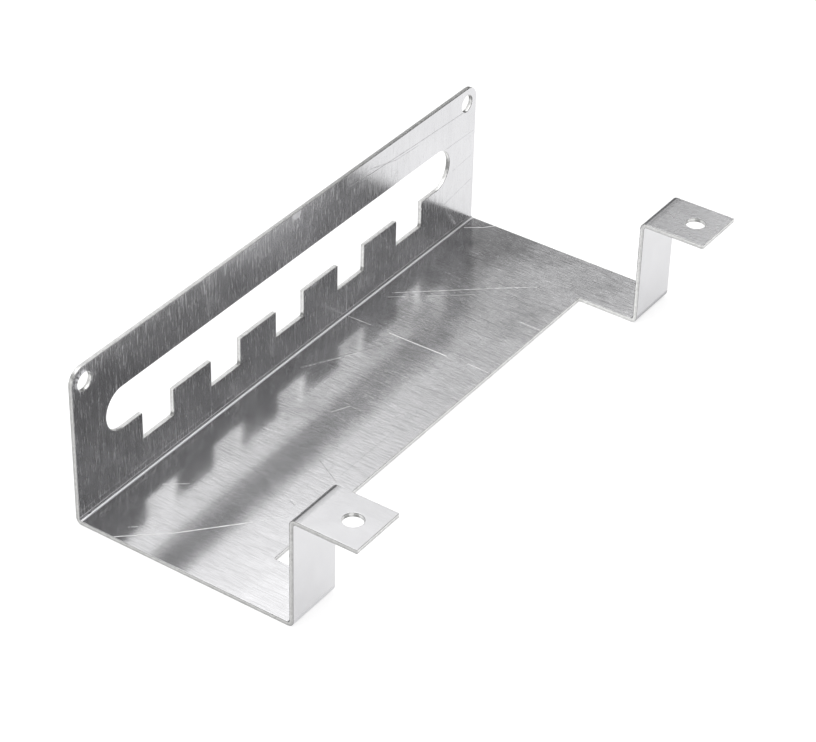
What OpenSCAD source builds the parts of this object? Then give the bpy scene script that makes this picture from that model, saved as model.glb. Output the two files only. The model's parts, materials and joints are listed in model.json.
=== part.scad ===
// Indexing plate folded from one piece of sheet: an upright back plate with a notched slot,
// a flat floor, and an arm at each end that turns up into a leg and out into a foot.
// +X runs along the plate, the back plate stands on the +Y side, the feet point to -Y.
// The origin is at the middle of the footprint, on the plane that the floor rests on.

/* [Sheet] */
// Thickness of the sheet
sheet_t = 1.5; // [1:0.1:2.5]
// Inside radius of every bend
bend_r = 0.75; // [0.5:0.05:2]

/* [Back plate] */
// Length of the back plate and of the floor
plate_len = 208; // [150:1:300]
// Height of the back plate's top edge above the underside of the floor
plate_h = 54.5; // [50:0.5:80]
// Radius of the two top corners
corner_r = 5; // [2:0.5:8]
// Diameter of the hole in each top corner
corner_hole_d = 6.2; // [3:0.1:7]
// Distance from the plate's end to the centre of a corner hole
corner_hole_end = 5.5; // [5.5:0.1:6.5]
// Distance from the top edge to the centre of a corner hole
corner_hole_top = 5.5; // [5.5:0.1:6.5]

/* [Slot] */
// Height of the slot, and the diameter of its round ends
slot_h = 15; // [8:0.5:18]
// Height of the slot's lower edge above the underside of the floor
slot_low = 23; // [20:0.5:25]
// Sheet left between the plate's left end and the slot
slot_left = 14; // [10:0.5:25]
// Sheet left between the slot and the plate's right end
slot_right = 15; // [10:0.5:25]

/* [Notches] */
// Width of one notch
notch_w = 14.7; // [8:0.1:20]
// Distance from one notch to the next
notch_pitch = 33; // [26:0.5:45]
// Depth of a notch below the slot's lower edge
notch_depth = 9.6; // [4:0.1:12]
// Shortest ledge left between the slot's end and the first or last notch
ledge_min = 12; // [9:0.5:16]

/* [Floor] */
// Depth of the floor, from the plate's back face to the edge between the arms
floor_d = 58; // [40:1:80]
// Radius in the two corners where the arms leave the floor, and at the foot of each notch
cut_r = 0.5; // [0.2:0.1:1.5]

/* [Legs and feet] */
// Width of an arm, its leg and its foot
arm_w = 20; // [14:0.5:30]
// Distance from the floor's front edge to the outer face of a leg
arm_len = 22; // [10:0.5:40]
// Height of a foot's top face above the underside of the floor
foot_h = 39; // [20:0.5:50]
// Distance from the outer face of a leg to the foot's front edge
foot_len = 21.5; // [17:0.5:35]
// Diameter of the hole in each foot
foot_hole_d = 6.5; // [3:0.1:8]
// Distance from the foot's front edge to the centre of its hole
foot_hole_front = 8.5; // [7:0.5:10]

/* [Hidden] */
$fn = 96;
aluminium = [0.80, 0.81, 0.83];
// How far a cut runs past the sheet on each side
past = 1;
// Outside radius of every bend
bend_out = bend_r + sheet_t;
// Distances from the plate's back face to a leg's outer face and to a foot's front edge
leg_y = floor_d + arm_len;
foot_y = leg_y + foot_len;
slot_len = plate_len - slot_left - slot_right;
slot_r = slot_h / 2;
// The notches fill the slot's length at their pitch and stand in the middle of it
notch_count = floor((slot_len - 2 * ledge_min - notch_w) / notch_pitch) + 1;
notch_run = (notch_count - 1) * notch_pitch + notch_w;
notch_first = slot_left + (slot_len - notch_run) / 2;

// One bend seen from the end: a quarter of a ring about the origin, turned to its quadrant
module bend_section(turn) {
    rotate(turn)
        intersection() {
            difference() {
                circle(r = bend_out);
                circle(r = bend_r);
            }
            square(bend_out);
        }
}

// The folded sheet seen from the end, drawn as (y, z) with the plate's back face at y = 0
module folded_section() {
    // Back plate
    translate([-sheet_t, bend_out])
        square([sheet_t, plate_h - bend_out]);
    translate([-bend_out, bend_out])
        bend_section(270);
    // Floor and arms
    translate([bend_out - leg_y, 0])
        square([leg_y - 2 * bend_out, sheet_t]);
    translate([bend_out - leg_y, bend_out])
        bend_section(180);
    // Legs
    translate([-leg_y, bend_out])
        square([sheet_t, foot_h - 2 * bend_out]);
    translate([-leg_y - bend_r, foot_h - bend_out])
        bend_section(0);
    // Feet
    translate([-foot_y, foot_h - sheet_t])
        square([foot_len - bend_r, sheet_t]);
}

// A rectangle from (0, 0) whose two corners on the line y = 0 are rounded
module round_footed(size, r) {
    translate([r, 0])
        square([size[0] - 2 * r, size[1]]);
    translate([0, r])
        square([size[0], size[1] - r]);
    for (x = [r, size[0] - r])
        translate([x, r])
            circle(r = r);
}

// Outline of the slot, drawn as (x, z)
module slot_outline() {
    translate([slot_left + slot_r, slot_low])
        square([slot_len - slot_h, slot_h]);
    for (x = [slot_left + slot_r, plate_len - slot_right - slot_r])
        translate([x, slot_low + slot_r])
            circle(r = slot_r);
}

// Outlines of the notches, drawn as (x, z); each opens into the slot
module notch_outlines() {
    for (i = [0 : notch_count - 1])
        translate([notch_first + i * notch_pitch, slot_low - notch_depth])
            round_footed([notch_w, notch_depth + slot_r], cut_r);
}

// What is trimmed off one top corner to round it, drawn about the centre of the rounding
module corner_trim() {
    difference() {
        square(corner_r + past);
        circle(r = corner_r);
    }
}

// Everything that is cut out of the back plate, drawn as (x, z)
module plate_cuts() {
    slot_outline();
    notch_outlines();
    for (x = [corner_hole_end, plate_len - corner_hole_end])
        translate([x, plate_h - corner_hole_top])
            circle(d = corner_hole_d);
    translate([plate_len - corner_r, plate_h - corner_r])
        corner_trim();
    translate([corner_r, plate_h - corner_r])
        mirror([1, 0])
            corner_trim();
}

// The wide cut between the two arms, drawn as (x, y) and open to the front
module front_cut() {
    translate([arm_w, -floor_d])
        mirror([0, 1])
            round_footed([plate_len - 2 * arm_w, foot_y - floor_d + past], cut_r);
}

module foot_holes() {
    for (x = [arm_w / 2, plate_len - arm_w / 2])
        translate([x, foot_hole_front - foot_y])
            circle(d = foot_hole_d);
}

module indexing_plate() {
    color(aluminium)
        translate([-plate_len / 2, foot_y / 2, 0])
            difference() {
                rotate([90, 0, 90])
                    linear_extrude(plate_len)
                        folded_section();
                translate([0, past, 0])
                    rotate([90, 0, 0])
                        linear_extrude(sheet_t + 2 * past)
                            plate_cuts();
                translate([0, 0, -past])
                    linear_extrude(foot_h + 2 * past)
                        front_cut();
                translate([0, 0, foot_h - sheet_t - past])
                    linear_extrude(sheet_t + 2 * past)
                        foot_holes();
            }
}

indexing_plate();
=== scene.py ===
import json
import math
from collections import namedtuple

import bmesh
import bpy
from mathutils import Matrix, Vector
from mathutils.geometry import delaunay_2d_cdt


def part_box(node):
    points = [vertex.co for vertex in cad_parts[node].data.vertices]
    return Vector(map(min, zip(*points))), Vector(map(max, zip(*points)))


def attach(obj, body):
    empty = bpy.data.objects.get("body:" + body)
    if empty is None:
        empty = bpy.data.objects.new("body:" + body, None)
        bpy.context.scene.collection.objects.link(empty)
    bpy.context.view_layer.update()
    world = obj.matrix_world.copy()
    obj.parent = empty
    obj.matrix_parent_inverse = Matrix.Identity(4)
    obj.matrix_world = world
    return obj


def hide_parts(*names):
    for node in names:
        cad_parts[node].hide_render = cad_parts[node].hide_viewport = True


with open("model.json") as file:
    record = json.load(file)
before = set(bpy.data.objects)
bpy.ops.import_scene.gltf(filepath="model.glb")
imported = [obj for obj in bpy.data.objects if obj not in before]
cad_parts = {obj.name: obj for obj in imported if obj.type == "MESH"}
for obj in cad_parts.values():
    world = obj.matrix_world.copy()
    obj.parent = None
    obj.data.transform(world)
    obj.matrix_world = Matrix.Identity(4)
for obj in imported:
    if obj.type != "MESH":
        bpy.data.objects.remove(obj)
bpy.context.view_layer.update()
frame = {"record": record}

bl_info = {
    "name": "Indexing Plate",
    "version": (1, 0, 0),
    "blender": (4, 5, 0),
    "location": "View3D > Sidebar > Indexing Plate",
    "description": "Folds an indexing plate from mill-finish sheet and lights it on a white table",
    "category": "Object",
}

NODE = "indexing_plate"
BODY = "root"
MM = 0.001
# The table stands this far below the sheet, so that the two faces don't coincide
TABLE_GAP = 0.02 * MM

low_corner, high_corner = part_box(NODE)
mounts = {mount["name"]: mount for mount in frame["record"]["mounts"]}
foot_hole_dims = mounts["foot_holes"]["dims"]
corner_hole_dims = mounts["corner_holes"]["dims"]


def number_property(name, description, default, **others):
    """A number of 0 or more."""
    return bpy.props.FloatProperty(
        name=name, description=description, default=default, min=0.0, **others)


def length_property(name, description, default, largest=1.0):
    """A size in metres, shown in the scene's length unit."""
    return number_property(name, description, default, max=largest, precision=5,
                           subtype="DISTANCE", unit="LENGTH")


def share_property(name, description, default):
    """A number from 0 to 1."""
    return number_property(name, description, default, max=1.0, precision=3, subtype="FACTOR")


def colour_property(name, description, default):
    """A linear colour."""
    return bpy.props.FloatVectorProperty(
        name=name, description=description, default=default,
        size=3, min=0.0, max=1.0, subtype="COLOR",
    )


def angle_property(name, description, degrees):
    """An angle, kept in radians."""
    return bpy.props.FloatProperty(
        name=name, description=description, default=math.radians(degrees),
        precision=4, subtype="ANGLE", unit="ROTATION",
    )


class SheetSettings(bpy.types.PropertyGroup):
    """Sizes of the cut and folded sheet."""

    thickness: length_property("Thickness", "Thickness of the sheet", 1.5 * MM)
    bend_radius: length_property("Bend radius", "Inside radius of every bend", 0.75 * MM)
    plate_length: length_property(
        "Plate length", "Length of the back plate", high_corner.x - low_corner.x)
    plate_height: length_property(
        "Plate height", "Height of the back plate's top edge", high_corner.z - low_corner.z)
    corner_radius: length_property("Corner radius", "Radius of the plate's top corners", 5 * MM)
    corner_hole_radius: length_property(
        "Corner hole radius", "Radius of the holes in the plate's top corners",
        corner_hole_dims["hole_r_mm"] * MM)
    corner_hole_spacing: length_property(
        "Corner hole spacing", "Distance between the two corner holes",
        corner_hole_dims["spacing_x_mm"] * MM)
    slot_height: length_property("Slot height", "Height of the slot", 15 * MM)
    slot_low: length_property("Slot lower edge", "Height of the slot's lower edge", 23 * MM)
    slot_left: length_property("Slot left", "Sheet left beside the slot's left end", 14 * MM)
    slot_right: length_property("Slot right", "Sheet left beside the slot's right end", 15 * MM)
    notch_width: length_property("Notch width", "Width of one notch", 14.7 * MM)
    notch_pitch: length_property("Notch pitch", "Distance from notch to notch", 33 * MM)
    notch_depth: length_property("Notch depth", "Depth of a notch below the slot", 9.6 * MM)
    notch_count: bpy.props.IntProperty(
        name="Notches", description="Number of notches", default=5, min=1, max=5)
    floor_depth: length_property("Floor depth", "From the back face to the front edge", 58 * MM)
    cut_radius: length_property("Cut radius", "Radius in the inner corners of the cuts", 0.5 * MM)
    arm_width: length_property("Arm width", "Width of an arm, leg and foot", 20 * MM)
    arm_length: length_property("Arm length", "From the floor's front edge to a leg", 22 * MM)
    foot_height: length_property("Foot height", "Height of a foot's top face", 39 * MM)
    foot_hole_radius: length_property(
        "Foot hole radius", "Radius of the hole in each foot", foot_hole_dims["hole_r_mm"] * MM)
    edge_round: length_property("Edge rounding", "Radius worn onto the cut edges", 0.12 * MM)


class FinishSettings(bpy.types.PropertyGroup):
    """Colours and surface of the metal."""

    metal_colour: colour_property("Metal", "Colour of the rolled face", (0.879, 0.877, 0.893))
    cut_colour: colour_property("Cut edge", "Colour of the punched edge", (0.90, 0.90, 0.89))
    roughness: share_property("Roughness", "Roughness between the streaks", 0.155)
    plate_streaks: share_property("Plate streaks", "Roughness of the plate's streaks", 0.38)
    floor_streaks: share_property("Floor streaks", "Roughness of the floor's streaks", 0.30)
    edge_roughness: share_property("Edge roughness", "Roughness of the punched edge", 0.30)
    anisotropy: share_property("Anisotropy", "How far the grain spreads reflections", 0.65)
    bend_roughness: share_property("Bend roughness", "Roughness of the stretched bends", 0.50)
    plate_width: length_property("Plate grain width", "Width of a streak on the plate", 0.25 * MM)
    floor_width: length_property("Floor grain width", "Width of a streak on the floor", 0.20 * MM)
    plate_grain: length_property("Plate grain", "Length of a streak on the back plate", 4.2 * MM)
    floor_grain: length_property("Floor grain", "Length of a streak on the floor", 2.2 * MM)
    grain_depth: share_property("Grain depth", "Strength of the grain's relief", 0.16)
    scratch_strength: share_property("Scratches", "Strength of the single scratches", 0.9)


class StageSettings(bpy.types.PropertyGroup):
    """Table, light and camera."""

    table_colour: colour_property("Table", "Colour of the table", (0.92, 0.92, 0.92))
    table_size: length_property("Table size", "Width of the table", 12.0, 50.0)
    bright_sky: number_property("Soft light", "Light from the soft box overhead", 1.38)
    overhead: number_property("Overhead", "Light that the soft box's middle adds", 0.6)
    room: number_property("Room", "Light from the room to the left", 0.55)
    wall: number_property("Wall", "Light from the wall behind", 0.78)
    dark_sky: number_property("Dark side", "Light from the room to the right", 0.03)
    azimuth: angle_property("Azimuth", "Direction that the camera stands in", -56.14)
    elevation: angle_property("Elevation", "Height angle of the camera", 35.69)
    roll: angle_property("Roll", "Turn of the camera about its line of sight", 1.57)
    distance: length_property("Distance", "From the target to the camera", 848.5 * MM, 10.0)
    target: bpy.props.FloatVectorProperty(
        name="Target", description="Point that the camera looks at", size=3,
        default=(-2.9 * MM, 2.1 * MM, 17.7 * MM), precision=5, subtype="TRANSLATION",
        unit="LENGTH")
    lens: bpy.props.FloatProperty(
        name="Lens", description="Focal length", default=121.34, min=1.0, unit="CAMERA")


def on_circle(centre, radius, angle):
    """The point of a circle at an angle in radians."""
    return centre[0] + radius * math.cos(angle), centre[1] + radius * math.sin(angle)


def arc(centre, radius, first, last, steps):
    """Points along an arc, by angles in degrees, its first and last points included."""
    return [on_circle(centre, radius, math.radians(first + (last - first) * i / steps))
            for i in range(steps + 1)]


class Blank:
    """The flat blank in (x, run) and the fold that gives it its shape.

    x runs along the back plate from the middle. run is the length along the sheet, from the
    plate's top edge down the plate, over the floor, up a leg and out along a foot.
    """

    BEND_STEPS = 14
    SLOT_STEPS = 32
    CORNER_STEPS = 16
    CUT_STEPS = 5
    HOLE_STEPS = 56
    # From a bend to the line that keeps the flat beside it flat
    GUARD = 0.25 * MM
    # From one place of the plate's grid to the next, and the least from a place to any edge
    GRID = 4 * MM
    CLEAR = 1.2 * MM

    def __init__(self, sheet):
        self.sheet = sheet
        self.half = sheet.plate_length / 2
        self.back = high_corner.y
        self.mid = sheet.bend_radius + sheet.thickness / 2
        self.outer = sheet.bend_radius + sheet.thickness
        quarter = self.mid * math.pi / 2
        leg = sheet.floor_depth + sheet.arm_length
        foot = high_corner.y - low_corner.y
        self.leg = leg
        self.half_thick = sheet.thickness / 2
        self.foot_back = self.back - leg - sheet.bend_radius
        self.plate_end = sheet.plate_height - self.outer
        self.floor_start = self.plate_end + quarter
        self.floor_end = self.floor_start + leg - 2 * self.outer
        self.leg_start = self.floor_end + quarter
        self.leg_end = self.leg_start + sheet.foot_height - 2 * self.outer
        self.foot_start = self.leg_end + quarter
        self.end = self.foot_start + foot - leg - sheet.bend_radius
        self.front_edge = self.floor_start + sheet.floor_depth - self.outer
        # First and last run of each bend, and the lines that cross the plate and the arms there
        self.bends = [(self.plate_end, self.floor_start), (self.floor_end, self.leg_start),
                      (self.leg_end, self.foot_start)]
        self.plate_bend = self.bend_runs(*self.bends[0])
        self.arm_bends = self.bend_runs(*self.bends[1]) + self.bend_runs(*self.bends[2])

    def fold(self, run, offset):
        """(y, z) of a point of the sheet, offset from its middle towards the upper face."""
        if run <= self.plate_end:
            return self.back - self.half_thick - offset, self.sheet.plate_height - run
        if run <= self.floor_start:
            angle = -(run - self.plate_end) / self.mid
            return on_circle((self.back - self.outer, self.outer), self.mid - offset, angle)
        if run <= self.floor_end:
            y = self.back - self.outer - (run - self.floor_start)
            return y, self.half_thick + offset
        if run <= self.leg_start:
            angle = -math.pi / 2 - (run - self.floor_end) / self.mid
            centre = (self.back - self.leg + self.outer, self.outer)
            return on_circle(centre, self.mid - offset, angle)
        if run <= self.leg_end:
            z = self.outer + run - self.leg_start
            return self.back - self.leg + self.half_thick + offset, z
        if run <= self.foot_start:
            angle = (run - self.leg_end) / self.mid
            centre = (self.foot_back, self.sheet.foot_height - self.outer)
            return on_circle(centre, self.mid + offset, angle)
        y = self.foot_back - (run - self.foot_start)
        return y, self.sheet.foot_height - self.half_thick + offset

    def spot(self, surface, x, second):
        """(x, run, 0) of a place in millimetres: x and z on the plate, or x and y elsewhere."""
        start = {"plate": self.sheet.plate_height,
                 "floor": self.floor_start + self.back - self.outer,
                 "foot": self.foot_start + self.foot_back}
        return x * MM, start[surface] - second * MM, 0

    def bend_runs(self, first, last):
        """Lines across one bend, with a guard line on the flat to each side of it."""
        step = (last - first) / self.BEND_STEPS
        runs = [first + i * step for i in range(self.BEND_STEPS + 1)]
        return [first - self.GUARD] + runs + [last + self.GUARD]

    def foot_of_cut(self, right, left, foot):
        """The two rounded corners at the foot of a cut, from its right side to its left."""
        radius = self.sheet.cut_radius
        return (arc((right - radius, foot + radius), radius, 0, -90, self.CUT_STEPS)
                + arc((left + radius, foot + radius), radius, -90, -180, self.CUT_STEPS))

    def outline(self):
        """The blank's outer edge, with a point at each end of every bend line."""
        half, inner = self.half, self.half - self.sheet.arm_width
        sides = self.plate_bend + self.arm_bends
        corner = self.sheet.corner_radius
        points = arc((corner - half, corner), corner, 180, 270, self.CORNER_STEPS)
        points += arc((half - corner, corner), corner, 270, 360, self.CORNER_STEPS)
        points += [(half, run) for run in sides]
        points += [(half, self.end), (inner, self.end)]
        points += [(inner, run) for run in reversed(self.arm_bends)]
        points += self.foot_of_cut(inner, -inner, self.front_edge)
        points += [(-inner, run) for run in self.arm_bends]
        points += [(-inner, self.end), (-half, self.end)]
        points += [(-half, run) for run in reversed(sides)]
        return points

    def slot(self):
        """The slot with its notches, worked out as (x, z) and handed back as (x, run)."""
        sheet = self.sheet
        radius = sheet.slot_height / 2
        left, right = sheet.slot_left - self.half, self.half - sheet.slot_right
        middle = sheet.slot_low + radius
        notches = (sheet.notch_count - 1) * sheet.notch_pitch + sheet.notch_width
        first = (left + right - notches) / 2
        points = arc((right - radius, middle), radius, 90, -90, self.SLOT_STEPS)
        for i in reversed(range(sheet.notch_count)):
            near = first + i * sheet.notch_pitch
            far = near + sheet.notch_width
            points.append((far, sheet.slot_low))
            points += self.foot_of_cut(far, near, sheet.slot_low - sheet.notch_depth)
            points.append((near, sheet.slot_low))
        points += arc((left + radius, middle), radius, -90, -270, self.SLOT_STEPS)
        return [(x, sheet.plate_height - z) for x, z in points]

    def holes(self):
        """The two corner holes and the two foot holes."""
        corner_run = self.sheet.plate_height - mounts["corner_holes"]["pos_m"][2]
        foot_run = self.end - (mounts["foot_holes"]["pos_m"][1] - low_corner.y)
        pairs = [(self.sheet.corner_hole_spacing / 2, corner_run, self.sheet.corner_hole_radius),
                 (foot_hole_dims["spacing_x_mm"] * MM / 2, foot_run, self.sheet.foot_hole_radius)]
        return [arc((side * x, run), radius, 0, 360, self.HOLE_STEPS)[:-1]
                for side in (-1, 1) for x, run, radius in pairs]

    def plate_places(self):
        """Places on a grid over the back plate, which keep the triangles there short."""
        columns, rows = round(2 * self.half / self.GRID), round(self.plate_end / self.GRID)
        for row in range(1, rows):
            for column in range(1, columns):
                yield (2 * self.half * column / columns - self.half,
                       self.plate_end * row / rows)

    def bend_lines(self):
        """Both ends of every line that the triangles keep, across the plate and the arms."""
        half, inner = self.half, self.half - self.sheet.arm_width
        lines = [((-half, run), (half, run)) for run in self.plate_bend]
        for run in self.arm_bends:
            lines += [((-half, run), (-inner, run)), ((inner, run), (half, run))]
        return lines


def inside(point, loops):
    """True where the point lies on the sheet and not in a hole, by the even-odd rule."""
    x, y = point
    odd = False
    for loop in loops:
        for (ax, ay), (bx, by) in zip(loop, loop[1:] + loop[:1]):
            if (ay > y) != (by > y) and x < ax + (y - ay) * (bx - ax) / (by - ay):
                odd = not odd
    return odd


def triangulated(blank):
    """Points and anticlockwise triangles that cover the blank, worked out in millimetres."""
    loops = [blank.outline(), blank.slot()] + blank.holes()
    points, edges, index = [], [], {}

    def place(point):
        key = (round(point[0] / MM, 5), round(point[1] / MM, 5))
        if key not in index:
            index[key] = len(points)
            points.append(Vector(key))
        return index[key]

    for loop in loops:
        ids = [place(point) for point in loop]
        edges += [(a, b) for a, b in zip(ids, ids[1:] + ids[:1]) if a != b]
    for first, last in blank.bend_lines():
        edges.append((place(first), place(last)))
    loops_mm = [[(x / MM, y / MM) for x, y in loop] for loop in loops]
    for x, run in blank.plate_places():
        gap = blank.CLEAR
        around = ((x - gap, run), (x + gap, run), (x, run - gap), (x, run + gap))
        if all(inside((at_x / MM, at_run / MM), loops_mm) for at_x, at_run in around):
            place((x, run))
    # 0 asks for every triangle of the hull, and points closer than the last value are one
    found = delaunay_2d_cdt(points, edges, [], 0, 1e-6)
    flat, triangles = found[0], []
    for a, b, c in found[2]:
        centre = (flat[a] + flat[b] + flat[c]) / 3
        if inside(centre, loops_mm):
            turn = (flat[b] - flat[a]).cross(flat[c] - flat[a])
            triangles.append((a, b, c) if turn > 0 else (a, c, b))
    return [(p.x * MM, p.y * MM) for p in flat], triangles


def closed_chains(edges):
    """The edges joined end to end, as lists of points that each end where they begin."""
    following = dict(edges)
    while following:
        start, last = following.popitem()
        chain = [start, last]
        while last in following:
            last = following.pop(last)
            chain.append(last)
        yield chain


def sheet_mesh(blank):
    """The folded sheet as one closed mesh: two faces, and walls along every cut edge.

    Each corner keeps its flat place (x, run), and on the walls how far it lies along the cut
    and on which side of the sheet, with 1 for the upper face.
    """
    flat, triangles = triangulated(blank)
    mesh_data = bmesh.new()
    place = mesh_data.loops.layers.uv.new("sheet_place")
    edge_place = mesh_data.loops.layers.uv.new("edge_place")
    upper, lower = [], []
    for x, run in flat:
        for offset, side in ((blank.half_thick, upper), (-blank.half_thick, lower)):
            y, z = blank.fold(run, offset)
            side.append(mesh_data.verts.new((x, y, z)))
    walls = {}

    def add(corners, spots, material):
        face = mesh_data.faces.new(corners)
        face.smooth = True
        face.material_index = material
        for loop, (spot, edge_spot) in zip(face.loops, spots):
            loop[place].uv = spot
            loop[edge_place].uv = edge_spot

    for triangle in triangles:
        add([upper[i] for i in reversed(triangle)],
            [(flat[i], (0, 1)) for i in reversed(triangle)], 0)
        add([lower[i] for i in triangle], [(flat[i], (0, 0)) for i in triangle], 0)
        for a, b in zip(triangle, triangle[1:] + triangle[:1]):
            if (b, a) in walls:
                del walls[(b, a)]
            else:
                walls[(a, b)] = True
    for chain in closed_chains(walls.keys()):
        travelled = 0.0
        for a, b in zip(chain, chain[1:]):
            step = math.dist(flat[a], flat[b])
            spots = [(flat[a], (travelled, 1)), (flat[b], (travelled + step, 1)),
                     (flat[b], (travelled + step, 0)), (flat[a], (travelled, 0))]
            add([upper[a], upper[b], lower[b], lower[a]], spots, 1)
            travelled += step
    mesh_data.verts.index_update()
    loose = [v for v in mesh_data.verts if not v.link_faces]
    bmesh.ops.delete(mesh_data, geom=loose, context="VERTS")
    mesh = bpy.data.meshes.new(NODE + "_sheet")
    mesh_data.to_mesh(mesh)
    mesh_data.free()
    return mesh


class Nodes:
    """Adds nodes to one node tree and links them by short calls."""

    def __init__(self, tree):
        self.tree = tree
        self.count = 0

    def add(self, kind, inputs=(), **settings):
        """A node with its settings, and with its inputs by name or number, or in their order."""
        node = self.tree.nodes.new(kind)
        node.location = (200 * (self.count // 6), -220 * (self.count % 6))
        self.count += 1
        for name, value in settings.items():
            setattr(node, name, value)
        for key, value in inputs.items() if isinstance(inputs, dict) else enumerate(inputs):
            self.feed(node.inputs[key], value)
        return node

    def feed(self, socket, value):
        if isinstance(value, bpy.types.NodeSocket):
            self.tree.links.new(value, socket)
        else:
            socket.default_value = value

    def maths(self, operation, *values, clamp=False):
        return self.add("ShaderNodeMath", values, operation=operation,
                        use_clamp=clamp).outputs[0]

    def times(self, first, second):
        return self.maths("MULTIPLY", first, second)

    def over(self, first, second, clamp=False):
        return self.maths("DIVIDE", first, second, clamp=clamp)

    def plus(self, first, second, clamp=False):
        return self.maths("ADD", first, second, clamp=clamp)

    def minus(self, first, second):
        return self.maths("SUBTRACT", first, second)

    def most(self, first, second):
        return self.maths("MAXIMUM", first, second)

    def vectors(self, operation, inputs):
        return self.add("ShaderNodeVectorMath", inputs, operation=operation).outputs

    def between(self, start, end):
        """The vector from one place to another."""
        return self.vectors("SUBTRACT", (end, start))["Vector"]

    def dot(self, first, second):
        return self.vectors("DOT_PRODUCT", (first, second))["Value"]

    def distance(self, first, second):
        return self.vectors("DISTANCE", (first, second))["Value"]

    def scaled(self, vector, scale):
        return self.vectors("SCALE", {"Vector": vector, "Scale": scale})["Vector"]

    def combine(self, x, y, z=0.0):
        return self.add("ShaderNodeCombineXYZ", {"X": x, "Y": y, "Z": z}).outputs[0]

    def separate(self, vector):
        return self.add("ShaderNodeSeparateXYZ", {"Vector": vector}).outputs

    def uv(self, name):
        return self.add("ShaderNodeUVMap", uv_map=name).outputs["UV"]

    def noise(self, place, detail, roughness=0.5, scale=1.0):
        return self.add("ShaderNodeTexNoise", {
            "Vector": place, "Scale": scale, "Detail": detail,
            "Roughness": roughness}).outputs["Fac"]

    def span(self, value, low, high, to_low=0.0, to_high=1.0, kind="SMOOTHSTEP"):
        return self.add("ShaderNodeMapRange", (value, low, high, to_low, to_high),
                        interpolation_type=kind).outputs[0]

    def fall(self, value, low, high):
        """From 1 where the value is low down to 0 where it is high."""
        return self.span(value, low, high, 1.0, 0.0)

    def ramp(self, value, low, high, to_low, to_high):
        return self.span(value, low, high, to_low, to_high, "LINEAR")

    def share(self, value, at_none, at_full):
        """A straight line from one value to another, for a share from 0 to 1."""
        return self.ramp(value, 0.0, 1.0, at_none, at_full)

    def dim(self, level, mask, least):
        """The level, brought down to a part of itself where the mask is full."""
        return self.times(level, self.share(mask, 1.0, least))

    def blend(self, share, first, second):
        return self.add("ShaderNodeMix", {"Factor": share, "A": first, "B": second},
                        data_type="FLOAT").outputs[0]

    def mix_colour(self, share, first, second):
        """A mix of two colours, whose sockets share their names and so go by number."""
        return self.add("ShaderNodeMix", {0: share, 6: first, 7: second},
                        data_type="RGBA").outputs[2]

    def group(self, tree, inputs):
        return self.add("ShaderNodeGroup", inputs, node_tree=tree).outputs


def empty_nodes(owner):
    """The helper for the nodes of a new material or world, which start empty."""
    owner.use_nodes = True
    owner.node_tree.nodes.clear()
    return Nodes(owner.node_tree)


FLOAT, VECTOR = "NodeSocketFloat", "NodeSocketVector"


def new_group(name, inputs, outputs):
    """An empty shader node group with named sockets, its helper, its input and its output."""
    group = bpy.data.node_groups.new(name, "ShaderNodeTree")
    for socket_name, kind, default in inputs:
        socket = group.interface.new_socket(socket_name, in_out="INPUT", socket_type=kind)
        if default is not None:
            socket.default_value = default
    for socket_name in outputs:
        group.interface.new_socket(socket_name, in_out="OUTPUT", socket_type=FLOAT)
    nodes = Nodes(group)
    given = nodes.add("NodeGroupInput").outputs
    result = nodes.add("NodeGroupOutput").inputs
    return group, nodes, given, result


def grain_group():
    """Straight rolling grain: broken rough streaks, fine dull lines and cloudy patches."""
    group, nodes, given, result = new_group(
        "Rolled Grain",
        [("Place", VECTOR, None), ("Width", FLOAT, 0.3 * MM), ("Length", FLOAT, 4 * MM),
         ("Cover", FLOAT, 0.0), ("Coarse", FLOAT, 1.0), ("Crossing", FLOAT, 0.0)],
        ["Streaks", "Lines", "Clouds", "Relief"],
    )
    parts = nodes.separate(given["Place"])
    width, length, cover = given["Width"], given["Length"], given["Cover"]

    def stretched(across, along, detail, roughness, seed):
        spot = nodes.combine(nodes.over(parts["X"], across), nodes.over(parts["Y"], along), seed)
        return nodes.noise(spot, detail, roughness)

    fine = stretched(width, length, 2.0, 0.6, 1.5)
    coarse = stretched(nodes.times(width, 2.3), nodes.times(length, 3.0), 2.0, 0.55, 4.5)
    line_width, line_length = nodes.times(width, 1.15), nodes.times(length, 2.2)
    lines = stretched(line_width, line_length, 0.0, 0.5, 9.5)
    crossing = stretched(line_length, line_width, 0.0, 0.5, 13.5)
    crossing_lines = nodes.times(nodes.span(crossing, 0.50, 0.72), given["Crossing"])
    clouds = stretched(13 * MM, 18 * MM, 3.0, 0.55, 3.5)
    thin = nodes.span(nodes.plus(fine, cover), 0.55, 0.80)
    wide = nodes.span(nodes.plus(coarse, cover), 0.60, 0.82)
    wide_share = nodes.times(given["Coarse"], 0.45)
    streaks = nodes.plus(nodes.times(thin, 0.75), nodes.times(wide, wide_share), clamp=True)
    coarse_share = nodes.times(given["Coarse"], 1.5)
    nodes.feed(result["Streaks"], streaks)
    nodes.feed(result["Lines"], nodes.most(nodes.span(lines, 0.45, 0.70), crossing_lines))
    nodes.feed(result["Clouds"], nodes.span(clouds, 0.3, 0.7))
    nodes.feed(result["Relief"], nodes.plus(fine, nodes.times(coarse, coarse_share)))
    return group


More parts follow.
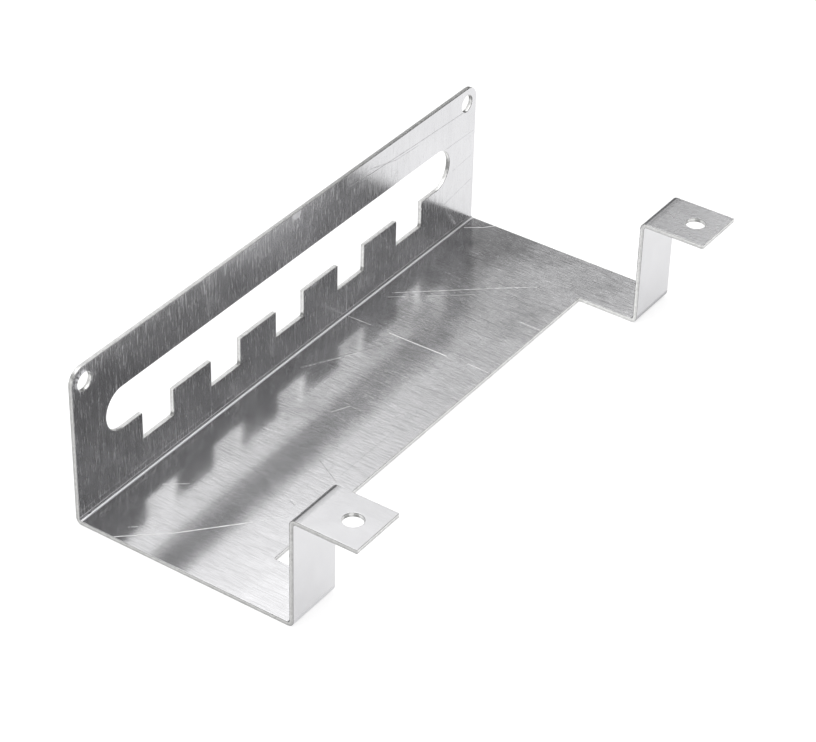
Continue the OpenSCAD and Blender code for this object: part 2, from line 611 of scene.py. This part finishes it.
def scratch_group():
    """One straight scratch between two places of the sheet, thin and broken along its length."""
    group, nodes, given, result = new_group(
        "Scratch",
        [("Place", VECTOR, None), ("Start", VECTOR, None), ("End", VECTOR, None),
         ("Half Width", FLOAT, 0.1 * MM), ("Break Up", FLOAT, 0.0), ("Pattern", FLOAT, 0.5)],
        ["Mask"],
    )
    from_start = nodes.between(given["Start"], given["Place"])
    whole = nodes.between(given["Start"], given["End"])
    along = nodes.over(nodes.dot(from_start, whole), nodes.dot(whole, whole), clamp=True)
    across = nodes.distance(from_start, nodes.scaled(whole, along))
    line = nodes.fall(across, nodes.times(given["Half Width"], 0.4), given["Half Width"])
    broken = nodes.span(given["Pattern"], 0.42, 0.56)
    nodes.feed(result["Mask"], nodes.times(line, nodes.blend(given["Break Up"], 1.0, broken)))
    return group


def soft_patch_group():
    """One soft, ragged patch around a place of the sheet."""
    group, nodes, given, result = new_group(
        "SoftPatch",
        [("Place", VECTOR, None), ("Centre", VECTOR, None), ("Radius", FLOAT, 5 * MM),
         ("Pattern", FLOAT, 0.5)],
        ["Mask"],
    )
    away = nodes.over(nodes.distance(given["Place"], given["Centre"]), given["Radius"])
    ragged = nodes.plus(away, nodes.times(given["Pattern"], 0.9))
    nodes.feed(result["Mask"], nodes.fall(ragged, 0.6, 1.35))
    return group


def rub_group():
    """Fine parallel lines at an angle to the grain, inside a soft circle."""
    group, nodes, given, result = new_group(
        "Rub Marks",
        [("Place", VECTOR, None), ("Centre", VECTOR, None), ("Radius", FLOAT, 10 * MM),
         ("Turn", FLOAT, 0.5)],
        ["Mask"],
    )
    turned = nodes.add("ShaderNodeVectorRotate", {
        "Vector": given["Place"], "Center": given["Centre"], "Angle": given["Turn"]},
        rotation_type="Z_AXIS")
    parts = nodes.separate(turned.outputs[0])
    spot = nodes.combine(nodes.over(parts["X"], 0.6 * MM), nodes.over(parts["Y"], 9 * MM),
                         given["Turn"])
    lines = nodes.span(nodes.noise(spot, 2.0, 0.6), 0.58, 0.68)
    away = nodes.over(nodes.distance(given["Place"], given["Centre"]), given["Radius"])
    nodes.feed(result["Mask"], nodes.times(lines, nodes.fall(away, 0.6, 1.0)))
    return group


def bend_group():
    """A soft band about the run of one bend's middle: the bend's wear and its painted shade, and
    the painted shade where the feet begin.
    """
    group, nodes, given, result = new_group(
        "Bend Band",
        [("Run", FLOAT, 0.0), ("Middle", FLOAT, 0.0), ("Half Width", FLOAT, 1 * MM),
         ("Fade", FLOAT, 0.5 * MM)],
        ["Mask"],
    )
    away = nodes.maths("ABSOLUTE", nodes.minus(given["Run"], given["Middle"]))
    far = nodes.plus(given["Half Width"], given["Fade"])
    nodes.feed(result["Mask"], nodes.fall(away, given["Half Width"], far))
    return group


def on_surface(kind, surface, rows):
    """Marks of one kind on one surface of the sheet, one for each row of values."""
    return [kind(surface, *row) for row in rows]


# Every mark is given in millimetres: x and z on the back plate, x and y on the floor and feet.
# A tone above 0 is a bright scratch, below 0 a dark one.
Scratch = namedtuple("Scratch", "surface tone half_width break_up points")
SCRATCHES = on_surface(Scratch, "floor", [
    (1.0, 0.26, 0.35, [(-103.7, 36.4), (-92.2, 23.5), (-75.8, 9.2)]),
    (0.6, 0.16, 0.70, [(-75.8, 9.2), (-66.0, 1.5)]),
    (0.7, 0.16, 0.70, [(-97.8, 35.9), (-90.1, 27.1)]),
    (0.6, 0.16, 0.50, [(-76.0, 40.8), (-71.0, 34.4)]),
    (0.9, 0.20, 0.50, [(29.5, 48.0), (29.8, 39.3)]),
    (1.0, 0.27, 0.25, [(29.6, 31.6), (29.9, 9.5)]),
    (0.9, 0.22, 0.75, [(49.3, 44.2), (73.6, 16.2), (80.9, 7.4)]),
    (0.6, 0.16, 0.80, [(46.0, 44.4), (65.8, 20.2)]),
    (0.8, 0.20, 0.40, [(60.3, 0.8), (60.1, -6.7)]),
    (0.9, 0.20, 0.40, [(30.5, 1.3), (30.2, -6.5)]),
    (0.6, 0.18, 0.40, [(-16.4, 21.4), (-10.4, 18.5)]),
    (0.4, 0.12, 0.60, [(-10.4, 18.5), (-10.6, 3.0)]),
    (0.9, 0.24, 0.10, [(96.8, 47.3), (100.5, 42.3), (104.0, 39.5)]),
    (0.8, 0.17, 0.70, [(-3.4, 43.1), (14.0, 33.6)]),
    (-0.8, 0.18, 0.45, [(-2.9, 43.5), (29.3, 25.8), (40.6, 21.5)]),
    (-0.7, 0.20, 0.20, [(101.6, 15.7), (81.8, -4.2)]),
    (-0.7, 0.16, 0.40, [(-38.4, 9.9), (-44.1, -0.7)]),
    (-0.7, 0.15, 0.00, [(-59.5, 5.5), (-60.6, 2.8)]),
    (-0.7, 0.18, 0.30, [(104.0, -12.6), (89.5, -17.0)]),
    (-0.6, 0.18, 0.30, [(103.1, -15.4), (99.3, -19.3)]),
    (-0.5, 0.12, 0.50, [(-40.7, 0.3), (4.0, -0.2)]),
]) + on_surface(Scratch, "plate", [
    (-0.6, 0.20, 0.35, [(96.3, 46.5), (69.8, 47.6), (43.7, 48.9), (31.0, 49.9)]),
    (-0.5, 0.16, 0.35, [(42.5, 50.9), (57.2, 47.2), (69.8, 46.6)]),
    (-0.4, 0.18, 0.50, [(86.1, 37.0), (103.0, 36.7)]),
    (-0.4, 0.18, 0.50, [(86.6, 15.4), (103.0, 17.7)]),
    (-0.3, 0.18, 0.60, [(91.0, 26.4), (102.0, 27.3)]),
    (0.7, 0.18, 0.30, [(30.0, 12.9), (30.2, 2.6)]),
    (0.25, 0.40, 0.80, [(-103.9, 4.7), (-30.0, 4.3)]),
    (-1.0, 0.55, 0.00, [(-99.9, 1.4), (-99.4, 1.1)]),
])
# Soft patches: on the plate they are hazy scuffs; on the floor their darkening is painted shade
# and their roughness is haze
SoftPatch = namedtuple("SoftPatch", "surface x second radius darker rougher", defaults=(0.0,))
SHADE_AND_HAZE = on_surface(SoftPatch, "plate", [
    (3.2, 54.2, 3.0, 0.0, 0.45),
    (13.0, 24.5, 4.5, 0.0, 0.30),
]) + on_surface(SoftPatch, "floor", [
    (67.0, 3.2, 13.0, 0.12),
    (53.0, 3.0, 11.0, 0.10),
    (80.0, 31.0, 14.0, 0.12),
    (-20.0, 33.0, 13.0, 0.14),
    (20.0, 36.0, 12.0, 0.16),
    (42.0, 32.0, 15.0, 0.22),
    (64.0, 34.0, 13.0, 0.16),
    (95.0, 34.0, 24.0, 0.38),
    (-49.0, 36.0, 11.0, 0.12),
])
# Painted shade: dark spots on the walls of the slot's right end and of the holes
WALL_SHADE = on_surface(SoftPatch, "plate", [
    (89.8, 29.5, 5.0, 0.55),
    (-95.5, 50.3, 1.7, 0.60),
    (-98.6, 46.0, 1.3, 0.60),
    (101.5, 50.0, 1.7, 0.60),
    (98.0, 45.9, 1.3, 0.60),
    (-102.6, 52.9, 1.6, 0.50),
]) + on_surface(SoftPatch, "foot", [
    (-93.0, -39.2, 1.5, 0.50),
    (-91.0, -41.2, 1.3, 0.50),
    (94.0, -39.2, 1.3, 0.45),
    (97.0, -41.4, 1.5, 0.50),
])
# One more spot of painted shade in the same corner of each notch
WALL_SHADE += on_surface(SoftPatch, "plate", [(33.0 * i - 59.1, 13.8, 1.4, 0.60) for i in range(5)])
Rub = namedtuple("Rub", "surface x second radius turn strength")
RUBS = on_surface(Rub, "foot", [
    (94.0, -40.0, 20.0, 62.0, 0.55),
    (94.0, -40.0, 20.0, 8.0, 0.45),
]) + on_surface(Rub, "floor", [
    (90.0, 5.0, 22.0, 35.0, 0.20),
])
# How far the wear of each bend fades out, from the back plate to the feet, and its strength; the
# same band carries the bend's painted shade
BEND_WEAR_AND_SHADE = [(0.45 * MM, 1.0), (1.0 * MM, 1.0), (0.6 * MM, 0.35)]


def round_mask(nodes, group, place, blank, mark, **others):
    """Mask of one soft patch or one set of rub marks, with the other inputs of its group."""
    return nodes.group(group, {
        "Place": place, "Centre": blank.spot(mark.surface, mark.x, mark.second),
        "Radius": mark.radius * MM, **others})["Mask"]


def scratch_masks(nodes, place, blank, groups):
    """Masks of the bright scratches, and of the dark ones together with the rub marks."""
    pattern = nodes.noise(place, 2.0, 0.6, scale=420.0)
    bright, dark = 0.0, 0.0
    for mark in SCRATCHES:
        spots = [blank.spot(mark.surface, *point) for point in mark.points]
        for start, end in zip(spots, spots[1:]):
            mask = nodes.group(groups["scratch"], {
                "Place": place, "Start": start, "End": end, "Pattern": pattern,
                "Half Width": mark.half_width * MM, "Break Up": mark.break_up})["Mask"]
            mask = nodes.times(mask, abs(mark.tone))
            if mark.tone > 0:
                bright = nodes.most(bright, mask)
            else:
                dark = nodes.most(dark, mask)
    for mark in RUBS:
        mask = round_mask(nodes, groups["rub"], place, blank, mark, Turn=math.radians(mark.turn))
        dark = nodes.most(dark, nodes.times(mask, mark.strength))
    return bright, dark


def shade_and_haze_masks(nodes, place, blank, groups):
    """How much painted shade and how much haze the soft patches give the face."""
    pattern = nodes.noise(place, 3.0, 0.6, scale=160.0)
    darker, rougher = 0.0, 0.0
    for mark in SHADE_AND_HAZE:
        mask = round_mask(nodes, groups["soft_patch"], place, blank, mark, Pattern=pattern)
        darker = nodes.plus(darker, nodes.times(mask, mark.darker))
        rougher = nodes.plus(rougher, nodes.times(mask, mark.rougher))
    return darker, rougher


def bend_masks(nodes, run, blank, groups):
    """Masks of the wear on all three bends, and of the band of painted shade where the feet begin.
    """
    worn = 0.0
    for (first, last), (fade, strength) in zip(blank.bends, BEND_WEAR_AND_SHADE):
        mask = nodes.group(groups["bend"], {
            "Run": run, "Middle": first + (last - first) * 0.64,
            "Half Width": (last - first) * 0.34, "Fade": fade})["Mask"]
        worn = nodes.most(worn, nodes.times(mask, strength))
    foot_shade = nodes.group(groups["bend"], {
        "Run": run, "Middle": blank.foot_start - 0.3 * MM, "Half Width": 0.5 * MM,
        "Fade": 1.8 * MM})["Mask"]
    return worn, foot_shade


def brushed_metal(name, blank, finish, groups):
    """The rolled face of the sheet, with its grain, bends, scratches, hazy patches and painted
    shade.
    """
    material = bpy.data.materials.new(name)
    nodes = empty_nodes(material)
    place = nodes.uv("sheet_place")
    parts = nodes.separate(place)
    x, run = parts["X"], parts["Y"]
    upper = nodes.separate(nodes.uv("edge_place"))["Y"]

    # Zones of the sheet: each is 1 inside and 0 outside
    on_plate = nodes.fall(run, blank.plate_end - 0.5 * MM, blank.plate_end + 0.5 * MM)
    past_leg = nodes.span(run, blank.floor_end - 3 * MM, blank.leg_start)
    on_foot = nodes.span(run, blank.leg_end, blank.foot_start)

    # The floor's grain grows stronger away from the back plate and from the left end
    past_bend = nodes.span(run, blank.floor_start + 2 * MM, blank.floor_start + 16 * MM, 0.3, 1.0)
    off_plate = nodes.blend(on_plate, past_bend, 1.0)
    calm_streaks = nodes.span(x, -80 * MM, -20 * MM, 0.5, 1.0)
    calm_relief = nodes.span(x, -80 * MM, -20 * MM, 0.4, 0.9)

    plate_marks = nodes.group(groups["grain"], {
        "Place": place, "Width": finish.plate_width, "Length": finish.plate_grain,
        "Cover": 0.05, "Coarse": 1.0, "Crossing": 0.0})
    floor_marks = nodes.group(groups["grain"], {
        "Place": place, "Width": finish.floor_width, "Length": finish.floor_grain,
        "Cover": 0.03, "Coarse": 0.2, "Crossing": 0.5})
    clouds = plate_marks["Clouds"]
    relief = nodes.blend(on_plate, nodes.times(floor_marks["Relief"], calm_relief),
                         nodes.times(plate_marks["Relief"], 0.6))
    floor_share = nodes.times(nodes.blend(past_leg, 1.0, 0.15), calm_streaks)
    streaks = nodes.times(
        nodes.blend(on_plate, floor_marks["Streaks"], plate_marks["Streaks"]),
        nodes.times(off_plate, nodes.blend(on_plate, floor_share, 1.0)))
    foot_lines = nodes.span(x, -0.5 * blank.half, 0.5 * blank.half, 0.2, 0.5)
    line_share = nodes.blend(past_leg, off_plate, nodes.blend(on_foot, 0.05, foot_lines))
    lines = nodes.times(nodes.blend(on_plate, floor_marks["Lines"], plate_marks["Lines"]),
                        line_share)

    # The single marks lie on the upper face alone
    strength = nodes.times(upper, finish.scratch_strength)
    bright, dark = [nodes.times(mask, strength)
                    for mask in scratch_masks(nodes, place, blank, groups)]
    darker, rougher = [nodes.times(mask, upper)
                       for mask in shade_and_haze_masks(nodes, place, blank, groups)]
    worn, foot_shade = bend_masks(nodes, run, blank, groups)

    # Streaks, clouds, wear and hazy patches add roughness, and bends and scratches have their own
    streak_rough = nodes.blend(on_plate, finish.floor_streaks, finish.plate_streaks)
    rough = nodes.share(streaks, finish.roughness, streak_rough)
    rough = nodes.plus(rough, nodes.share(clouds, -0.015, 0.03))
    floor_rough = nodes.times(nodes.ramp(x, -50 * MM, 50 * MM, 0.02, 0.042), past_bend)
    rough = nodes.plus(rough, nodes.blend(on_plate, floor_rough, 0.0))
    rough = nodes.plus(rough, rougher)
    rough = nodes.blend(worn, rough, nodes.most(rough, finish.bend_roughness))
    rough = nodes.blend(nodes.most(bright, dark), rough, 0.5)

    # Clouds, lines and dark marks hold back some of the metal's colour, the lines more towards the
    # floor's right and less towards the plate's right; painted shade on the patches, the bends and
    # where the feet begin holds back more
    floor_level = nodes.ramp(x, -blank.half, blank.half, 0.88, 0.72)
    plate_level = nodes.span(x, 10 * MM, 50 * MM, 0.90, 0.97)
    bend_shade = nodes.ramp(x, -50 * MM, 100 * MM, 1.0, 0.74)
    level = nodes.dim(nodes.share(clouds, 1.0, 0.96), lines,
                      nodes.blend(on_plate, floor_level, plate_level))
    # Painted shade in patches on the floor
    level = nodes.times(level, nodes.minus(1.0, darker))
    level = nodes.dim(level, dark, 0.3)
    # Painted shade on the bends, deeper towards the right
    level = nodes.dim(level, worn, bend_shade)
    # Painted shade in a band where the feet begin
    level = nodes.dim(level, foot_shade, 0.75)
    colour = nodes.mix_colour(bright, nodes.scaled(tuple(finish.metal_colour), level),
                              (0.95, 0.95, 0.95, 1))

    # Every bend turns about x, so x lies across the grain on the whole sheet
    across = nodes.add("ShaderNodeVectorTransform", {"Vector": (1, 0, 0)},
                       convert_from="OBJECT", convert_to="WORLD")
    bump = nodes.add("ShaderNodeBump", {
        "Strength": finish.grain_depth, "Distance": 0.1 * MM, "Height": relief})
    shader = nodes.add("ShaderNodeBsdfPrincipled", {
        "Base Color": colour, "Metallic": nodes.share(bright, 1.0, 0.25), "Roughness": rough,
        "Anisotropic": finish.anisotropy, "Anisotropic Rotation": 0.0,
        "Normal": bump.outputs[0], "Tangent": across.outputs[0]})
    nodes.add("ShaderNodeOutputMaterial", {"Surface": shader.outputs[0]})
    return material


def cut_metal(name, blank, finish, groups):
    """The punched edge: painted shade along both rims, a band burnished by the punch and a duller
    broken band, with painted shade at the ends and in spots.
    """
    material = bpy.data.materials.new(name)
    nodes = empty_nodes(material)
    edge = nodes.separate(nodes.uv("edge_place"))
    along, height = edge["X"], edge["Y"]
    sheet_place = nodes.uv("sheet_place")
    sheet = nodes.separate(sheet_place)
    wide_spot = nodes.combine(nodes.over(along, 1.2 * MM), nodes.times(height, 1.6))
    fine_spot = nodes.combine(nodes.over(along, 0.3 * MM), nodes.times(height, 1.2), 3.0)
    patches = nodes.noise(wide_spot, 3.0, 0.65)
    grit = nodes.noise(fine_spot, 2.0)

    # Bands across the thickness, by the height from the lower face at 0 to the upper one at 1: the
    # broken band, and painted shade along both rims
    wavy = nodes.plus(height, nodes.ramp(patches, 0.3, 0.7, -0.10, 0.10))
    broken = nodes.fall(wavy, 0.48, 0.56)
    top_rim_shade = nodes.span(wavy, 0.82, 0.93)
    low_rim_shade = nodes.fall(height, 0.05, 0.16)

    # Painted shade on the walls at the sheet's outer ends and along the right part of the plate's
    # top edge, and a deeper shaded lower rim on the legs and feet
    outer_wall_shade = nodes.span(nodes.maths("ABSOLUTE", sheet["X"]),
                         blank.half - 0.4 * MM, blank.half - 0.1 * MM)
    folded = nodes.span(sheet["Y"], blank.floor_end, blank.leg_start)
    top_right_shade = nodes.times(nodes.span(sheet["X"], -40 * MM, 50 * MM),
                            nodes.fall(sheet["Y"], 0.2 * MM, 1.0 * MM))

    smooth, coarse = finish.edge_roughness * 0.7, finish.edge_roughness * 1.3
    rough = nodes.plus(nodes.times(broken, 0.22), nodes.ramp(grit, 0.3, 0.7, smooth, coarse))
    level = nodes.times(nodes.ramp(patches, 0.35, 0.65, 0.86, 1.08),
                        nodes.share(broken, 1.04, 0.92))
    # Painted shade along both rims, deeper on the legs and feet
    level = nodes.dim(level, top_rim_shade, 0.30)
    level = nodes.dim(level, low_rim_shade, nodes.share(folded, 0.75, 0.35))
    # Painted shade on the outer end walls and on the right part of the plate's top edge
    level = nodes.dim(level, outer_wall_shade, 0.72)
    level = nodes.dim(level, top_right_shade, 0.58)
    # Painted shade in spots on the walls
    for mark in WALL_SHADE:
        mask = round_mask(nodes, groups["soft_patch"], sheet_place, blank, mark, Pattern=patches)
        level = nodes.times(level, nodes.span(mask, 0.0, 1.0, 1.0, 1 - mark.darker))
    bump = nodes.add("ShaderNodeBump", {"Strength": 0.4, "Distance": 0.2 * MM, "Height": grit})
    shader = nodes.add("ShaderNodeBsdfPrincipled", {
        "Base Color": nodes.scaled(tuple(finish.cut_colour), level), "Metallic": 1.0,
        "Roughness": rough, "Normal": bump.outputs[0]})
    nodes.add("ShaderNodeOutputMaterial", {"Surface": shader.outputs[0]})
    return material


class INDEXPLATE_OT_sheet(bpy.types.Operator):
    """Cut the flat blank, fold it and give it its mill finish"""

    bl_idname = "indexplate.sheet"
    bl_label = "Fold the sheet"

    def execute(self, context):
        sheet, finish = context.scene.indexplate_sheet, context.scene.indexplate_finish
        blank = Blank(sheet)
        if not blank.floor_start < blank.front_edge < blank.floor_end:
            raise ValueError("The floor's front edge does not lie between the two bends")
        if not blank.foot_start < blank.end:
            raise ValueError("The sheet ends before the feet begin")
        piece = bpy.data.objects.new(NODE + "_sheet", sheet_mesh(blank))
        context.scene.collection.objects.link(piece)
        groups = {"grain": grain_group(), "scratch": scratch_group(), "soft_patch": soft_patch_group(),
                  "rub": rub_group(), "bend": bend_group()}
        piece.data.materials.append(
            brushed_metal("Mill-Finish Aluminium", blank, finish, groups))
        piece.data.materials.append(cut_metal("Punched Edge", blank, finish, groups))
        bevel = piece.modifiers.new("Edge rounding", "BEVEL")
        bevel.width = sheet.edge_round
        bevel.segments = 2
        bevel.limit_method = "ANGLE"
        bevel.angle_limit = math.radians(40)
        bevel.use_clamp_overlap = False
        bevel.loop_slide = False
        weighted = piece.modifiers.new("Face normals", "WEIGHTED_NORMAL")
        weighted.weight = 100
        # Areas that differ by more than 0.1 square millimetres count as different
        weighted.thresh = 1e-7
        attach(piece, BODY)
        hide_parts(NODE)
        return {"FINISHED"}


def table_material(stage):
    """A white table that keeps a soft shadow under the object."""
    material = bpy.data.materials.new("White Table")
    nodes = empty_nodes(material)
    path = nodes.add("ShaderNodeLightPath").outputs
    to_camera, in_metal = 0.72, 0.50
    seen = nodes.plus(nodes.times(path["Is Camera Ray"], to_camera),
                      nodes.times(path["Is Glossy Ray"], in_metal))
    glow = nodes.add("ShaderNodeEmission", {"Color": (1, 1, 1, 1), "Strength": seen})
    paint = nodes.add("ShaderNodeBsdfDiffuse", {
        "Color": [channel * 0.45 for channel in stage.table_colour] + [1]})
    both = nodes.add("ShaderNodeAddShader", (glow.outputs[0], paint.outputs[0]))
    nodes.add("ShaderNodeOutputMaterial", {"Surface": both.outputs[0]})
    return material


def studio_world(stage):
    """A soft box overhead, a room that is lit to the left and dark to the right, and a wall."""
    world = bpy.data.worlds.new("Studio")
    nodes = empty_nodes(world)
    direction = nodes.add("ShaderNodeTexCoord").outputs["Generated"]
    parts = nodes.separate(direction)
    x, up = parts["X"], parts["Z"]
    back_edge, front_edge = math.radians(52), math.radians(115)
    past_back = nodes.dot(direction, (0, -math.sin(back_edge), math.cos(back_edge)))
    past_front = nodes.dot(direction, (0, math.sin(front_edge), -math.cos(front_edge)))

    # The soft box, lower and dimmer towards its right end, and brighter in its middle
    lower = nodes.span(x, 0.68, 0.705, 0.0, 0.022)
    inside_back = nodes.span(nodes.minus(past_back, lower), -0.010, 0.006)
    box = nodes.times(inside_back, nodes.span(past_front, -0.24, 0.05))
    sideways = nodes.most(nodes.span(x, 0.60, 0.71, 1.0, 0.18),
                          nodes.span(x, 0.70, 0.75, 0.11, 0.95))
    box = nodes.times(nodes.times(box, sideways), stage.bright_sky)
    middle = nodes.span(up, 0.72, 0.95, 0.0, stage.overhead)

    # The room, bright to the left and dark to the right
    dark = nodes.span(x, 0.585, 0.62, stage.dark_sky * 0.3, stage.dark_sky)
    room = nodes.span(x, -0.3, 0.3, stage.room, dark)

    # The strip of wall that shows below the soft box
    lowest = nodes.span(x, 0.64, 0.71, 0.0, 0.05)
    below = nodes.minus(nodes.times(past_back, -1.0), lowest)
    shine = nodes.times(nodes.span(below, -0.004, 0.012), nodes.span(past_back, -0.30, -0.14))
    wall = nodes.times(shine, nodes.span(x, 0.58, 0.67, stage.wall, stage.wall * 0.25))

    level = nodes.most(nodes.most(nodes.plus(box, middle), room), wall)
    path = nodes.add("ShaderNodeLightPath").outputs
    back = nodes.add("ShaderNodeBackground", {
        "Color": (1, 1, 1, 1), "Strength": nodes.blend(path["Is Camera Ray"], level, 1.0)})
    nodes.add("ShaderNodeOutputWorld", {"Surface": back.outputs[0]})
    return world


def camera_matrix(stage):
    """Where the camera stands and how it is turned, from its target, angles and distance."""
    azimuth, elevation, roll = stage.azimuth, stage.elevation, stage.roll
    back = Vector((math.sin(azimuth) * math.cos(elevation),
                   -math.cos(azimuth) * math.cos(elevation), math.sin(elevation)))
    right = (-back).cross(Vector((0, 0, 1))).normalized()
    up = right.cross(-back)
    turned_right = right * math.cos(roll) + up * math.sin(roll)
    turned_up = up * math.cos(roll) - right * math.sin(roll)
    place = Vector(stage.target) + back * stage.distance
    matrix = Matrix((turned_right, turned_up, back)).transposed().to_4x4()
    matrix.translation = place
    return matrix


class INDEXPLATE_OT_stage(bpy.types.Operator):
    """Set the table, the studio light and the camera"""

    bl_idname = "indexplate.stage"
    bl_label = "Set the stage"

    def execute(self, context):
        scene = context.scene
        stage = scene.indexplate_stage
        if stage.distance <= 0:
            raise ValueError("The camera needs some distance from its target")
        size = stage.table_size / 2
        mesh = bpy.data.meshes.new("table")
        mesh.from_pydata([(-size, -size, 0), (size, -size, 0), (size, size, 0), (-size, size, 0)],
                         [], [(0, 1, 2, 3)])
        mesh.materials.append(table_material(stage))
        table = bpy.data.objects.new("table", mesh)
        table.location.z = low_corner.z - TABLE_GAP
        scene.collection.objects.link(table)
        scene.world = studio_world(stage)
        camera_data = bpy.data.cameras.new("camera")
        camera_data.lens = stage.lens
        camera_data.sensor_width = 36.0
        camera_data.sensor_fit = "HORIZONTAL"
        camera_data.clip_start = 10 * MM
        camera = bpy.data.objects.new("camera", camera_data)
        camera.matrix_world = camera_matrix(stage)
        scene.collection.objects.link(camera)
        scene.camera = camera
        scene.view_settings.view_transform = "Standard"
        return {"FINISHED"}


class INDEXPLATE_PT_panel(bpy.types.Panel):
    """Lists the operators and their settings"""

    bl_idname = "INDEXPLATE_PT_panel"
    bl_label = "Indexing Plate"
    bl_space_type = "VIEW_3D"
    bl_region_type = "UI"
    bl_category = "Indexing Plate"

    def draw(self, context):
        layout = self.layout
        for operator in OPERATORS:
            layout.operator(operator.bl_idname)
        for group in (context.scene.indexplate_sheet, context.scene.indexplate_finish,
                      context.scene.indexplate_stage):
            box = layout.box()
            for name in group.__annotations__:
                box.prop(group, name)


OPERATORS = (INDEXPLATE_OT_sheet, INDEXPLATE_OT_stage)
CLASSES = (SheetSettings, FinishSettings, StageSettings) + OPERATORS + (INDEXPLATE_PT_panel,)


def register():
    for cls in CLASSES:
        bpy.utils.register_class(cls)
    bpy.types.Scene.indexplate_sheet = bpy.props.PointerProperty(type=SheetSettings)
    bpy.types.Scene.indexplate_finish = bpy.props.PointerProperty(type=FinishSettings)
    bpy.types.Scene.indexplate_stage = bpy.props.PointerProperty(type=StageSettings)


def unregister():
    del bpy.types.Scene.indexplate_stage
    del bpy.types.Scene.indexplate_finish
    del bpy.types.Scene.indexplate_sheet
    for cls in reversed(CLASSES):
        bpy.utils.unregister_class(cls)


def main():
    register()
    bpy.ops.indexplate.stage()
    bpy.ops.indexplate.sheet()


if __name__ == "__main__":
    main()
